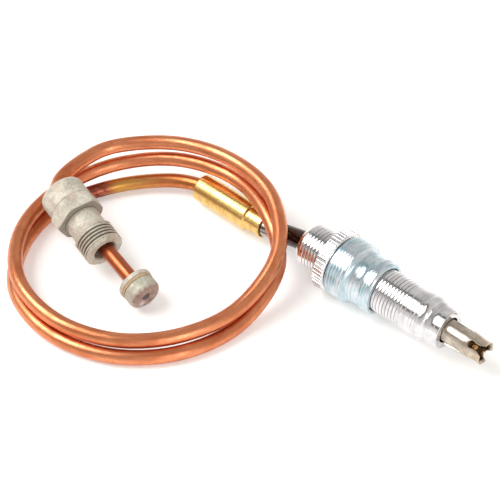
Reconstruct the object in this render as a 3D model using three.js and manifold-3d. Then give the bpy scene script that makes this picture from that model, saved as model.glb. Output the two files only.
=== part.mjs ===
// Gas pilot thermocouple: a coiled copper lead with a screwed connector at one end and a
// heated element with universal fixing hardware at the other. Millimetres, +Z up.
// +X runs along the hot end towards its tip. The origin is the middle of the footprint,
// on the surface that the part lies on.
import * as THREE from 'three';
import { mergeVertices } from 'three/addons/utils/BufferGeometryUtils.js';
import Module from 'manifold-3d';

const wasm = await Module();
wasm.setup();

// ---- driving dimensions -------------------------------------------------------------

const FIT = 0.15; // clearance between pieces that touch
const ROUND = 32; // facets round a turned piece
const FINE = 20; // facets round a small turned piece

// Hot end: local x is 0 at the front face of the adapter sleeve.
const HOT_END = new THREE.Vector3(23.9, 22.8, 6.95);
const SLEEVE_OD = 9.525; // 3/8 inch, 32 threads per inch
const SLEEVE_REAR = -20.6;
const SLEEVE_NOSE = 16.6;
const SLEEVE_FRONT_BORE = 5.7;
const SLEEVE_REAR_BORE = 5.0;
const SLEEVE_BORE_STEP = 2.0;
const BEAD_OD = 10.3;
const NOSE_OD = 8.6;
const NUT_BORE = SLEEVE_OD + 0.4;

const KNURL_OD = 13.84;
const KNURL_ROOT_OD = 13.2;
const KNURL_COUNT = 48;
const KNURL_REAR = -14.0;
const KNURL_WIDTH = 3.0;

const ADAPTER_LENGTH = 10.8;
const ADAPTER_OD = 13.24;
const ADAPTER_NECK_OD = 11.3;
const ADAPTER_RING_OD = 11.7;
const ADAPTER_FACE_OD = 11.0;

// Tip clip: a springy nickel-plated tube with a keyhole slot, a notch and two sprung tangs.
const CLIP_OD = 5.25;
const CLIP_WALL = 0.4;
const CLIP_REAR = 4.0;
const CLIP_SHOULDER = 21.7;
const CLIP_END = 25.9;
const CLIP_NECK_OD = 4.75;
const CLIP_LIP_OD = 5.05;
const CLIP_TURN = THREE.MathUtils.degToRad(36.5); // keyholes look up and to the front
const KEYHOLE_X = 23.3;
const KEYHOLE_R = 0.8;
const SLOT_WIDTH = 1.35;
const SLOT_MOUTH = 2.3;
const NOTCH_DEPTH = 1.3;
const WINDOW_REAR = 15.6;
const TANG_LENGTH = 4.5;
const TANG_WIDTH = 1.7;
const TANG_RISES = [1.15, 0.3]; // one tang stands up, the other has been pressed nearly flat

// Element: a dark sheath with its inner wire and insulation.
const SHEATH_OD = 4.3;
const SHEATH_BORE = 3.1;
const SHEATH_END = 20.8;
const INSULATOR_OD = 2.7;
const INSULATOR_BORE = 1.5;
const ELEMENT_WIRE_OD = 1.0;

// Brass joint sleeve: local x is 0 at its small end.
const JOINT = new THREE.Vector3(-8.1, 22.4, 4.3);
const JOINT_HEADING = THREE.MathUtils.degToRad(-2);
const JOINT_CLIMB = THREE.MathUtils.degToRad(3.2);
const JOINT_LENGTH = 19.2;
const JOINT_OD = 6.2;
const JOINT_STEP_OD = 5.3;
const JOINT_STEP = 4.2;
const JOINT_FRONT_BORE = 4.6;
const JOINT_BORE_STEP = -14.6;

// Copper lead: 1/8 inch tube.
const LEAD_OD = 3.175;
const LEAD_BORE = 2.1;
const LEAD_INSULATION_OD = 1.7;
const LEAD_INSULATION_BORE = 1.24;
const LEAD_WIRE_OD = 0.84;
const LEAD_REAR_BORE = LEAD_OD + 2 * FIT;

// Connector: distances are measured back along the lead from a point just behind the contact.
const CONTACT_END = new THREE.Vector3(-13.07, -8.96, 3.75);
const LEAD_HEADING = THREE.MathUtils.degToRad(-10);
const LEAD_CLIMB = THREE.MathUtils.degToRad(-10.5);
const BUTTON_OD = 7.2;
const BUTTON_FRONT = 0.4;
const BUTTON_REAR = -2.7;
const BUTTON_HOLE = 1.4;
const WASHER_OD = 7.35;
const WASHER_LENGTH = 0.4;
const COLLAR_OD = 7.6;
const COLLAR_LENGTH = 1.4;
const CONNECTOR_FACE = 13.9; // where the connector nut's front face rests
const CONNECTOR_LENGTH = 18.1;
const CONNECTOR_HEADING = THREE.MathUtils.degToRad(-13); // the loose nut lies cocked on the lead
const CONNECTOR_THREAD_OD = 8.73; // 11/32 inch, 32 threads per inch
const CONNECTOR_THREAD = 5.15;
const CONNECTOR_BARREL_OD = 7.6;
const CONNECTOR_HEX_AF = 9.8;
const CONNECTOR_HEX = 3.6;
const CONNECTOR_BACK_OD = 9.8;
const CONNECTOR_BACK = 4.9;
const CONNECTOR_BORE = 4.8;

// Coil of the lead: one station every 30 degrees, as radius and height of the centre line.
const COIL_CENTRE = new THREE.Vector2(-21.8, 0);
const COIL_STEP = 30;
const COIL_FIRST = 120;
const COIL_STATIONS = [
  [23.9, 2.8],
  [23.5, 2.2],
  [25.0, 1.8],
  [26.6, 1.65],
  [28.2, 1.62],
  [28.1, 1.62],
  [27.7, 1.62],
  [27.3, 1.66],
  [27.2, 2.1],
  [28.3, 6.1],
  [26.0, 8.9],
  [25.9, 8.2],
  [25.8, 7.4],
  [26.0, 6.1],
  [26.4, 5.2],
  [27.1, 4.95],
  [27.4, 4.85],
  [26.5, 4.45],
  [25.5, 4.1],
  [24.9, 4.05],
  [26.1, 5.4],
  [28.1, 9.7],
  [27.6, 12.2],
  [26.8, 12.0],
  [26.8, 11.2],
  [27.2, 10.3],
];
// Then the lead turns in through a tight bend to run straight under the nut.
const BEND = [
  [-47.2, 7.0, 9.85],
  [-46.8, 0.2, 9.6],
  [-45.8, -2.1, 9.4],
];
const STEPS_PER_SPAN = 3;

// ---- materials ----------------------------------------------------------------------

function finish(color, roughness, metalness) {
  return new THREE.MeshStandardMaterial({ color, roughness, metalness });
}

const copper = finish(0xc9764c, 0.35, 1.0);
const tinned = finish(0xb4ada0, 0.6, 0.8);
const tan = finish(0xb07a3c, 0.7, 0.0);
const solder = finish(0x9a9690, 0.4, 1.0);
const brass = finish(0xd2a94a, 0.25, 1.0);
const darkAlloy = finish(0x3a2c26, 0.3, 0.7);
const ceramic = finish(0xe6e0d2, 0.8, 0.0);
const aluminium = finish(0xd4d4d8, 0.3, 1.0);
const zinc = finish(0xb9cbd4, 0.3, 0.9);
const nickel = finish(0xa89a8c, 0.3, 1.0);
const gold = finish(0xd9a860, 0.35, 1.0);

// ---- shape helpers ------------------------------------------------------------------

/** Turns a closed outline of [x, radius] points about the X axis. */
function turned(outline, facets = ROUND) {
  const points = outline.map(([x, radius]) => new THREE.Vector2(radius, x));
  if (outline[0][1] > 0) points.push(points[0].clone());
  return new THREE.LatheGeometry(points, facets).rotateZ(-Math.PI / 2);
}

/** A plain ring or tube from x0 to x1. */
function ring(x0, x1, outerDiameter, innerDiameter, facets = ROUND) {
  const outer = outerDiameter / 2;
  const inner = innerDiameter / 2;
  return turned([[x0, inner], [x0, outer], [x1, outer], [x1, inner]], facets);
}

/** A regular polygon as a list of points, for a section or the hole in one. */
function polygon(sides, radius, turn = 0) {
  const points = [];
  for (let i = 0; i < sides; i += 1) {
    const angle = turn + (2 * Math.PI * i) / sides;
    points.push(new THREE.Vector2(radius * Math.cos(angle), radius * Math.sin(angle)));
  }
  return points;
}

/** Sweeps a round section, with a round hole if it has a bore, along a curve. */
function swept(curve, steps, outerDiameter, sides, boreDiameter = 0, boreSides = 6) {
  const section = new THREE.Shape(polygon(sides, outerDiameter / 2));
  if (boreDiameter > 0) section.holes.push(new THREE.Path(polygon(boreSides, boreDiameter / 2)));
  return new THREE.ExtrudeGeometry(section, { steps, extrudePath: curve });
}

/** A closed geometry as a solid that can be cut and joined. */
function solid(geometry) {
  const bare = geometry.clone();
  bare.deleteAttribute('normal');
  bare.deleteAttribute('uv');
  const merged = mergeVertices(bare, 1e-5);
  return new wasm.Manifold(
    new wasm.Mesh({
      numProp: 3,
      vertProperties: new Float32Array(merged.attributes.position.array),
      triVerts: new Uint32Array(merged.index.array),
    }),
  );
}

/** A solid back as a geometry. */
function shell(manifold) {
  const mesh = manifold.getMesh();
  const geometry = new THREE.BufferGeometry();
  geometry.setAttribute('position', new THREE.BufferAttribute(mesh.vertProperties, 3));
  geometry.setIndex(new THREE.BufferAttribute(mesh.triVerts, 1));
  return geometry;
}

/** Adds a named piece to a group. */
function piece(group, name, geometry, material) {
  const mesh = new THREE.Mesh(geometry, material);
  mesh.name = name;
  group.add(mesh);
}

/** A group whose X axis points along a heading and a climb. */
function aimed(position, heading, climb) {
  const group = new THREE.Group();
  group.position.copy(position);
  group.rotation.set(0, -climb, heading, 'ZYX');
  group.updateMatrix();
  return group;
}

/** A point on a group's X axis, in the part's frame. */
function along(group, x) {
  return new THREE.Vector3(x, 0, 0).applyMatrix4(group.matrix);
}

/** A route through hand-set stations, sampled the same number of times in every span. */
class Route extends THREE.CatmullRomCurve3 {
  getPointAt(u, target) {
    return this.getPoint(u, target);
  }

  getTangentAt(u, target) {
    return this.getTangent(u, target);
  }
}

// ---- hot end hardware ---------------------------------------------------------------

/** Aluminium sleeve, threaded at the rear, with a bead and a plain nose. */
function threadedSleeve() {
  const crest = SLEEVE_OD / 2;
  const bead = BEAD_OD / 2;
  const nose = NOSE_OD / 2;
  return turned(
    [
      [SLEEVE_REAR, SLEEVE_REAR_BORE / 2],
      [SLEEVE_REAR, crest - 0.9],
      [SLEEVE_REAR + 0.9, crest],
      [10.3, crest],
      [10.5, crest - 0.25],
      [11.0, crest - 0.25],
      [11.3, bead - 0.1],
      [11.9, bead],
      [12.6, bead - 0.15],
      [14.4, nose],
      [SLEEVE_NOSE - 0.15, nose],
      [SLEEVE_NOSE, nose - 0.15],
      [SLEEVE_NOSE, SLEEVE_FRONT_BORE / 2],
      [SLEEVE_BORE_STEP, SLEEVE_FRONT_BORE / 2],
      [SLEEVE_BORE_STEP, SLEEVE_REAR_BORE / 2],
    ],
  );
}

/** Thin ring nut with straight flutes round its rim. */
function knurledNut() {
  const crest = KNURL_OD / 2;
  const root = KNURL_ROOT_OD / 2;
  const pitch = (2 * Math.PI) / KNURL_COUNT;
  const rim = [];
  for (let i = 0; i < KNURL_COUNT; i += 1) {
    for (const [share, radius] of [[0.1, crest], [0.6, crest], [0.75, root], [0.95, root]]) {
      const angle = (i + share) * pitch;
      rim.push(new THREE.Vector2(radius * Math.cos(angle), radius * Math.sin(angle)));
    }
  }
  const section = new THREE.Shape(rim);
  section.holes.push(new THREE.Path(polygon(ROUND, NUT_BORE / 2)));
  const body = new THREE.ExtrudeGeometry(section, { depth: KNURL_WIDTH, bevelEnabled: false });
  return body.rotateY(Math.PI / 2).translate(KNURL_REAR, 0, 0);
}

/** Stepped steel sleeve that the knurled nut pushes against the pilot bracket. */
function adapterSleeve() {
  const body = ADAPTER_OD / 2;
  const neck = ADAPTER_NECK_OD / 2;
  const front = ADAPTER_RING_OD / 2;
  const rear = -ADAPTER_LENGTH;
  return turned(
    [
      [rear, NUT_BORE / 2],
      [rear, body - 0.3],
      [rear + 0.3, body],
      [rear + 2.7, body],
      [rear + 2.85, body - 0.15],
      [rear + 3.0, body],
      [rear + 4.5, body - 0.05],
      [rear + 5.0, neck + 0.2],
      [rear + 5.6, neck],
      [rear + 7.6, neck],
      [rear + 8.4, neck - 0.3],
      [rear + 8.6, front],
      [-0.4, front],
      [0, ADAPTER_FACE_OD / 2],
      [0, NUT_BORE / 2],
    ],
  );
}

/** The clip's tube with its pinched end, before the slots are cut. */
function clipTube() {
  const outer = CLIP_OD / 2;
  const neck = CLIP_NECK_OD / 2;
  const lip = CLIP_LIP_OD / 2;
  return turned(
    [
      [CLIP_REAR, outer - CLIP_WALL],
      [CLIP_REAR, outer],
      [CLIP_SHOULDER, outer],
      [CLIP_SHOULDER + 1.2, outer - 0.05],
      [CLIP_SHOULDER + 2.4, outer - 0.17],
      [CLIP_END - 0.8, neck],
      [CLIP_END - 0.5, neck],
      [CLIP_END, lip],
      [CLIP_END, lip - CLIP_WALL],
      [CLIP_END - 0.5, neck - CLIP_WALL],
      [CLIP_END - 0.8, neck - CLIP_WALL],
      [CLIP_SHOULDER + 2.4, outer - 0.17 - CLIP_WALL],
      [CLIP_SHOULDER + 1.2, outer - 0.05 - CLIP_WALL],
      [CLIP_SHOULDER, outer - CLIP_WALL],
    ],
  );
}

/** Half of the widening mouth that the slots have at the clip's end. */
function mouthOutline(outline, side) {
  const points = [
    [CLIP_END - 1, SLOT_WIDTH / 2],
    [CLIP_END, SLOT_MOUTH / 2],
    [CLIP_END + 1, SLOT_MOUTH / 2],
  ];
  const ordered = side < 0 ? points : points.reverse();
  ordered.forEach(([x, y]) => outline.lineTo(x, side * y));
}

/** A tool that reaches from the axis outwards, on the upper (+1) or the lower (-1) side. */
function slotTool(outline, side) {
  const depth = CLIP_OD / 2 + 1;
  const tool = new THREE.ExtrudeGeometry(outline, { depth, bevelEnabled: false, curveSegments: 14 });
  return solid(tool.translate(0, 0, side > 0 ? 0 : -depth));
}

/** The upper slot: a round hole that opens into a widening mouth. */
function keyholeTool() {
  const outline = new THREE.Shape();
  const start = Math.asin(SLOT_WIDTH / 2 / KEYHOLE_R);
  outline.absarc(KEYHOLE_X, 0, KEYHOLE_R, start, 2 * Math.PI - start, false);
  mouthOutline(outline, -1);
  mouthOutline(outline, 1);
  outline.closePath();
  return slotTool(outline, 1);
}

/** The lower slot: the mouth alone. */
function notchTool() {
  const outline = new THREE.Shape();
  outline.moveTo(CLIP_END - NOTCH_DEPTH, 0);
  mouthOutline(outline, -1);
  mouthOutline(outline, 1);
  outline.closePath();
  return slotTool(outline, -1);
}

/** A sprung tang: its root is at the shoulder and its free end stands out behind it. */
function tang(rise) {
  const rootX = CLIP_SHOULDER;
  const freeX = CLIP_SHOULDER - TANG_LENGTH;
  const inside = CLIP_OD / 2 - CLIP_WALL + 0.1;
  const outline = new THREE.Shape([
    new THREE.Vector2(rootX, inside),
    new THREE.Vector2(rootX, inside + 0.3),
    new THREE.Vector2(freeX, inside + 0.3 + rise),
    new THREE.Vector2(freeX, inside + 0.05 + rise),
    new THREE.Vector2(rootX - 0.8, inside),
  ]);
  const body = new THREE.ExtrudeGeometry(outline, { depth: TANG_WIDTH, bevelEnabled: false });
  return body.translate(0, 0, -TANG_WIDTH / 2);
}

/** The window that a tang is lanced out of. */
function tangWindow() {
  const width = TANG_WIDTH + 0.5;
  const front = CLIP_SHOULDER - 0.9;
  const box = new THREE.BoxGeometry(front - WINDOW_REAR, CLIP_OD, width);
  return box.translate((front + WINDOW_REAR) / 2, CLIP_OD / 2 + 0.8, 0);
}

function tipClip() {
  let body = solid(clipTube()).subtract(keyholeTool()).subtract(notchTool());
  TANG_RISES.forEach((rise, i) => {
    const side = i * Math.PI;
    body = body.subtract(solid(tangWindow().rotateX(side)));
    body = body.add(solid(tang(rise).rotateX(side)));
  });
  return shell(body).rotateX(CLIP_TURN);
}

function buildHotEnd(root) {
  const group = aimed(HOT_END, 0, 0);
  piece(group, 'threaded_sleeve', threadedSleeve(), aluminium);
  piece(group, 'knurled_nut', knurledNut(), aluminium);
  piece(group, 'adapter_sleeve', adapterSleeve(), zinc);
  piece(group, 'tip_clip', tipClip(), nickel);
  const bead = new THREE.SphereGeometry(0.85, 12, 8);
  piece(group, 'hot_junction', bead.translate(KEYHOLE_X - 0.3, 0, 0), gold);
  root.add(group);
  return group;
}

// ---- element ------------------------------------------------------------------------

function buildElement(root, hotEnd, joint) {
  const shape = [
    along(joint, 0),
    new THREE.Vector3(-5.5, 22.5, 4.75),
    new THREE.Vector3(-2.0, 22.65, 5.6),
    new THREE.Vector3(1.5, 22.75, 6.45),
    new THREE.Vector3(4.0, 22.8, 6.88),
    new THREE.Vector3(7.5, HOT_END.y, HOT_END.z),
  ];
  const route = (start, end) => new Route([along(joint, start), ...shape, along(hotEnd, end)]);
  const steps = shape.length * STEPS_PER_SPAN;
  const sheath = swept(route(-8.5, SHEATH_END), steps, SHEATH_OD, 12, SHEATH_BORE, 8);
  const insulator = swept(route(-8.0, SHEATH_END + 0.3), steps, INSULATOR_OD, 8, INSULATOR_BORE);
  const wire = swept(route(-11.7, KEYHOLE_X - 1.4), steps, ELEMENT_WIRE_OD, 6);
  piece(root, 'element_sheath', sheath, darkAlloy);
  piece(root, 'element_insulator', insulator, ceramic);
  piece(root, 'element_wire', wire, nickel);
}

// ---- brass joint --------------------------------------------------------------------

function buildJoint(root) {
  const joint = aimed(JOINT, JOINT_HEADING, JOINT_CLIMB);
  const body = JOINT_OD / 2;
  const step = JOINT_STEP_OD / 2;
  const sleeve = turned(
    [
      [-JOINT_LENGTH, LEAD_REAR_BORE / 2],
      [-JOINT_LENGTH, body - 0.2],
      [-JOINT_LENGTH + 0.2, body],
      [-JOINT_STEP - 0.3, body],
      [-JOINT_STEP, step],
      [-0.15, step],
      [0, step - 0.12],
      [0, JOINT_FRONT_BORE / 2],
      [JOINT_BORE_STEP, JOINT_FRONT_BORE / 2],
      [JOINT_BORE_STEP, LEAD_REAR_BORE / 2],
    ],
  );
  piece(joint, 'joint_sleeve', sleeve, brass);
  piece(joint, 'splice_crimp', ring(-14.0, -9.6, 2.3, 1.4, FINE), brass);
  piece(joint, 'splice_sleeving', ring(-14.2, -9.3, 3.8, 2.7, FINE), tan);
  root.add(joint);
  return joint;
}

// ---- lead ---------------------------------------------------------------------------

function coilPoints() {
  return COIL_STATIONS.map(([radius, height], i) => {
    const angle = THREE.MathUtils.degToRad(COIL_FIRST + i * COIL_STEP);
    const x = COIL_CENTRE.x + radius * Math.cos(angle);
    return new THREE.Vector3(x, COIL_CENTRE.y + radius * Math.sin(angle), height);
  });
}

function buildLead(root, joint, connector) {
  const middle = [
    along(joint, -JOINT_LENGTH),
    along(joint, -JOINT_LENGTH - 1),
    ...coilPoints(),
    ...BEND.map((point) => new THREE.Vector3(...point)),
    along(connector, -32.6),
    along(connector, -31.2),
  ];
  const copperRoute = new Route([along(joint, -15.2), ...middle, along(connector, -3.3)]);
  const wireRoute = new Route([
    along(joint, -12.2),
    along(joint, -15.2),
    ...middle,
    along(connector, -3.3),
    along(connector, -1.0),
  ]);
  const steps = (middle.length + 1) * STEPS_PER_SPAN;
  const tube = swept(copperRoute, steps, LEAD_OD, 8, LEAD_BORE);
  const insulation = swept(copperRoute, steps, LEAD_INSULATION_OD, 5, LEAD_INSULATION_BORE, 5);
  const wire = swept(wireRoute, steps + 2 * STEPS_PER_SPAN, LEAD_WIRE_OD, 5);
  piece(root, 'lead_tube', tube, copper);
  piece(root, 'lead_insulation', insulation, tan);
  piece(root, 'lead_wire', wire, copper);
}

// ---- connector ----------------------------------------------------------------------

/** Contact button with a dished centre for the solder. */
function contactButton() {
  const rim = BUTTON_OD / 2;
  return turned(
    [
      [BUTTON_REAR, BUTTON_HOLE / 2],
      [BUTTON_REAR, rim],
      [BUTTON_FRONT - 0.5, rim],
      [BUTTON_FRONT, rim - 0.5],
      [BUTTON_FRONT, 1.2],
      [BUTTON_FRONT - 0.5, 1.0],
      [BUTTON_FRONT - 0.5, BUTTON_HOLE / 2],
    ],
    FINE,
  );
}

/** Male connector nut: round back, hexagon, plain barrel and short thread. */
function connectorNut() {
  const rear = -CONNECTOR_LENGTH / 2;
  const front = CONNECTOR_LENGTH / 2;
  const hexRear = rear + CONNECTOR_BACK;
  const hexFront = hexRear + CONNECTOR_HEX;
  const threadRear = front - CONNECTOR_THREAD;
  const back = CONNECTOR_BACK_OD / 2;
  const barrel = CONNECTOR_BARREL_OD / 2;
  const crest = CONNECTOR_THREAD_OD / 2;
  const turnedBody = turned(
    [
      [rear, 0],
      [rear, back - 0.6],
      [rear + 0.6, back],
      [hexRear + 0.1, back],
      [hexRear + 0.1, barrel],
      [threadRear, barrel],
      [threadRear + 0.45, crest],
      [front - 0.5, crest],
      [front, crest - 0.5],
      [front, 0],
    ],
  );
  const hexagon = new THREE.Shape(polygon(6, CONNECTOR_HEX_AF / Math.sqrt(3), Math.PI / 6));
  const prism = new THREE.ExtrudeGeometry(hexagon, { depth: CONNECTOR_HEX, bevelEnabled: false })
    .rotateY(Math.PI / 2)
    .translate(hexRear, 0, 0);
  const corner = CONNECTOR_HEX_AF / Math.sqrt(3);
  const rounding = turned(
    [
      [hexRear - 1, 0],
      [hexRear - 1, back - 0.4],
      [hexRear, back + 0.05],
      [hexRear + 0.7, corner],
      [hexFront - 0.5, corner],
      [hexFront, corner - 0.35],
      [hexFront + 1, corner - 0.35],
      [hexFront + 1, 0],
    ],
  );
  const bore = turned(
    [
      [rear - 1, 0],
      [rear - 1, CONNECTOR_BORE / 2],
      [front - 0.3, CONNECTOR_BORE / 2],
      [front + 0.7, CONNECTOR_BORE / 2 + 1],
      [front + 0.7, 0],
    ],
    FINE,
  );
  const hex = solid(prism).intersect(solid(rounding));
  return shell(solid(turnedBody).add(hex).subtract(solid(bore)));
}

function buildConnector(root) {
  const connector = aimed(CONTACT_END, LEAD_HEADING, LEAD_CLIMB);
  const washerFront = BUTTON_REAR - FIT;
  const collarFront = washerFront - WASHER_LENGTH - FIT;
  const collarRear = collarFront - COLLAR_LENGTH;
  const washer = ring(washerFront - WASHER_LENGTH, washerFront, WASHER_OD, BUTTON_HOLE, FINE);
  const collar = ring(collarRear, collarFront, COLLAR_OD, LEAD_REAR_BORE, FINE);
  piece(connector, 'contact_button', contactButton(), tinned);
  const drop = turned([[0.02, 0], [0.02, 0.85], [0.25, 0.85], [0.25, 0]], 16);
  piece(connector, 'contact_solder', drop, solder);
  piece(connector, 'insulating_washer', washer, tan);
  piece(connector, 'lead_collar', collar, tinned);
  root.add(connector);

  const nutCentre = along(connector, -CONNECTOR_FACE - CONNECTOR_LENGTH / 2);
  const nut = aimed(nutCentre, CONNECTOR_HEADING, LEAD_CLIMB);
  piece(nut, 'connector_nut', connectorNut(), tinned);
  root.add(nut);
  return connector;
}

// ---- assembly -----------------------------------------------------------------------

const thermocouple = new THREE.Group();
const hotEnd = buildHotEnd(thermocouple);
const joint = buildJoint(thermocouple);
const connector = buildConnector(thermocouple);
buildElement(thermocouple, hotEnd, joint);
buildLead(thermocouple, joint, connector);

export default thermocouple;
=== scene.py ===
"""Gas pilot thermocouple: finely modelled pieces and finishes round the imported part.

Sizes inside the operators are millimetres, measured along each piece's own X axis.
"""

import math
import random
from collections import namedtuple

import bmesh
import bpy
import numpy as np
from bpy.props import FloatProperty, FloatVectorProperty, IntProperty, PointerProperty
from mathutils import Matrix, Vector, noise


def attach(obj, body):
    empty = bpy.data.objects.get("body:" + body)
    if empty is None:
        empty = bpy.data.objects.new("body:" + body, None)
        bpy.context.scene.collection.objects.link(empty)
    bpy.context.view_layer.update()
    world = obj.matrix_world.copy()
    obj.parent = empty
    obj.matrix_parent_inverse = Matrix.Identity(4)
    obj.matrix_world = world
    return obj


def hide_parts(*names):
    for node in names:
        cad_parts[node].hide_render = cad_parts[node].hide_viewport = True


bl_info = {
    "name": "Thermocouple",
    "version": (1, 0, 0),
    "blender": (4, 5, 0),
    "location": "View3D > Sidebar > Thermocouple",
    "description": "Builds a gas pilot thermocouple's pieces, finishes and studio",
    "category": "Object",
}

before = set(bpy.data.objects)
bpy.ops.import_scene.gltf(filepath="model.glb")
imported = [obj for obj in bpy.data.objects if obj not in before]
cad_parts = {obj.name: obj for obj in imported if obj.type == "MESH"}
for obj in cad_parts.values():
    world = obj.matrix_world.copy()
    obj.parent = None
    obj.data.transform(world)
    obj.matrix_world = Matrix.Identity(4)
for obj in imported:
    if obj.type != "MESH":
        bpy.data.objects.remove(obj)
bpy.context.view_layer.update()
MM = 0.001

# ---- fixed places, in millimetres in the part's frame ---------------------------------

HOT_END = (23.9, 22.8, 6.95)
JOINT = (-8.1, 22.4, 4.3)
JOINT_HEADING = math.radians(-2)
JOINT_CLIMB = math.radians(3.2)
CONTACT_END = (-13.07, -8.96, 3.75)
LEAD_HEADING = math.radians(-10)
LEAD_CLIMB = math.radians(-10.5)
NUT_HEADING = math.radians(-13)
NUT_FRONT = 13.9
NUT_LENGTH = 18.1

# ---- sizes, in millimetres ------------------------------------------------------------

LEAD_OD = 3.175
LEAD_BORE = 2.1
SLEEVE_OD = 9.525
NUT_BORE = 9.925
KNURL_OD = 13.84
JOINT_LENGTH = 19.2
JOINT_OD = 6.2
CLIP_TURN = math.radians(36.5)
CLIP_SHOULDER = 21.7
CLIP_END = 25.9
CLIP_OD = 5.25
CLIP_WALL = 0.4
KEYHOLE_X = 23.3
KEYHOLE_RADIUS = 0.8
SLOT_HALF = 0.675
MOUTH_HALF = 1.15
NOTCH_DEPTH = 1.3
TANG_RISES = (1.15, 0.3)
TANG_LENGTH = 4.5
WINDOW = (15.6, 20.9)
SHEATH_OD = 4.3

COIL_CENTRE = (-21.8, 0.0)
COIL_FIRST = 120
COIL_STEP = 30
COIL_STATIONS = [
    (23.9, 2.8), (23.5, 2.2), (25.0, 1.8), (26.6, 1.65), (28.2, 1.62), (28.1, 1.62),
    (27.7, 1.62), (27.3, 1.66), (27.2, 2.1), (28.3, 6.1), (26.0, 8.9), (25.9, 8.2),
    (25.8, 7.4), (26.0, 6.1), (26.4, 5.2), (27.1, 4.95), (27.4, 4.85), (26.5, 4.45),
    (25.5, 4.1), (24.9, 4.05), (26.1, 5.4), (28.1, 9.7), (27.6, 12.2), (26.8, 12.0),
    (26.8, 11.2), (27.2, 10.3),
]
# Where the lead was heated, in millimetres from its start inside the brass: rise and fall.
STRAW = ((13.0, 21.0), (24.0, 27.5))
PLUM = ((23.5, 26.5), (29.0, 36.0))
RED_END = 24  # length of the redder end at the contact

BEND = [(-47.2, 7.0, 9.85), (-46.8, 0.2, 9.6), (-45.8, -2.1, 9.4)]

# A thread's form over one pitch, as shares of the pitch and of the depth.
DEEP_FORM = [
    (0.00, 0.00), (0.10, 0.00), (0.16, 0.08), (0.44, 0.92),
    (0.50, 1.00), (0.60, 1.00), (0.66, 0.92), (0.94, 0.08),
]
FLAT_FORM = [
    (0.00, 0.00), (0.28, 0.00), (0.50, 0.02), (0.57, 0.12),
    (0.66, 0.90), (0.73, 1.00), (0.80, 0.90), (0.91, 0.12),
]
Thread = namedtuple("Thread", "x0 x1 crest depth pitch form")

DENT_SEED = 11
SEAM = 2e-6  # vertices closer than this, in metres, are one vertex


def linear(text):
    """A colour written as six hex digits, as linear red, green and blue."""
    values = [int(text[i : i + 2], 16) / 255 for i in (0, 2, 4)]
    return tuple(v / 12.92 if v <= 0.04045 else ((v + 0.055) / 1.055) ** 2.4 for v in values)


def tint(text, name, about):
    return FloatVectorProperty(
        name=name, description=about, subtype="COLOR", size=3, min=0.0, max=1.0,
        default=linear(text),
    )


def length(default, name, about):
    return FloatProperty(
        name=name, description=about, default=default * MM, min=0.0, precision=5,
        subtype="DISTANCE", unit="LENGTH",
    )


def share(default, name, about, top=1.0):
    return FloatProperty(
        name=name, description=about, default=default, min=0.0, max=top, subtype="FACTOR",
    )


# ---- settings -------------------------------------------------------------------------


class ThermocoupleSizes(bpy.types.PropertyGroup):
    """How finely the pieces are made."""

    sides: IntProperty(
        name="Facets", description="Facets round a turned piece", default=96, min=24, max=384,
        step=24,
    )
    tube_sides: IntProperty(
        name="Tube facets", description="Facets round the lead", default=28, min=8, max=96,
    )
    tube_steps: IntProperty(
        name="Tube steps", description="Sections of the lead between stations", default=12,
        min=3, max=40,
    )
    edge: length(0.09, "Edge break", "Radius of the broken edges on turned pieces")
    sleeve_depth: length(0.11, "Sleeve thread depth", "Crest to root of the sleeve's thread")
    connector_depth: length(0.36, "Connector thread depth", "Crest to root of the nut's thread")
    thread_pitch: length(0.79375, "Thread pitch", "Distance from one thread to the next")
    dents: IntProperty(
        name="Dents", description="Small dents along the copper lead", default=26, min=0,
        max=200,
    )


class ThermocoupleFinishes(bpy.types.PropertyGroup):
    """Colours and wear of the finishes."""

    copper: tint("e09067", "Copper", "Clean drawn copper")
    copper_deep: tint("b35c33", "Copper, darker", "Tarnished copper between the clean places")
    copper_gold: tint("bd8f46", "Copper, straw", "Straw tint where the lead was heated")
    copper_plum: tint("7a3a34", "Copper, plum", "Plum tint where the lead was heated most")
    brass: tint("ecc981", "Brass", "Bright turned brass")
    brass_deep: tint("b98a3e", "Brass, darker", "Brass in the turning marks and stains")
    aluminium: tint("ebe9e9", "Aluminium", "Bright turned aluminium")
    zinc: tint("dfe6ea", "Zinc plate", "Pale blue plating of the adapter sleeve")
    zinc_teal: tint("a9c9d3", "Zinc plate, tinted", "Teal tint in the plating")
    nickel: tint("c8bcae", "Nickel plate", "Warm plating of the spring clip")
    nickel_gold: tint("cfa468", "Nickel plate, heated", "Golden tint near the weld")
    tin: tint("cdc7b8", "Tin plate", "Dull plating of the connector")
    # Dirt and painted shade: this colour darkens the thread roots and flanks and the corner in front
    # of the connector's hexagon.
    tin_dirt_and_shade: tint("54493a", "Tin plate, stained", "Dirt that stays in the threads")
    bare: tint("c3a292", "Bare metal", "Pinkish metal where the tin has worn off")
    alloy: tint("30221f", "Dark alloy", "Oxidised heat-resisting rod")
    alloy_clean: tint("b7b2ab", "Dark alloy, clean", "Bright patch next to the joint")
    fibre: tint("cdb68c", "Fibre", "Pressed fibre washer and sleeving")
    wear: share(0.6, "Wear", "How far edges and high places have worn")


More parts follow.
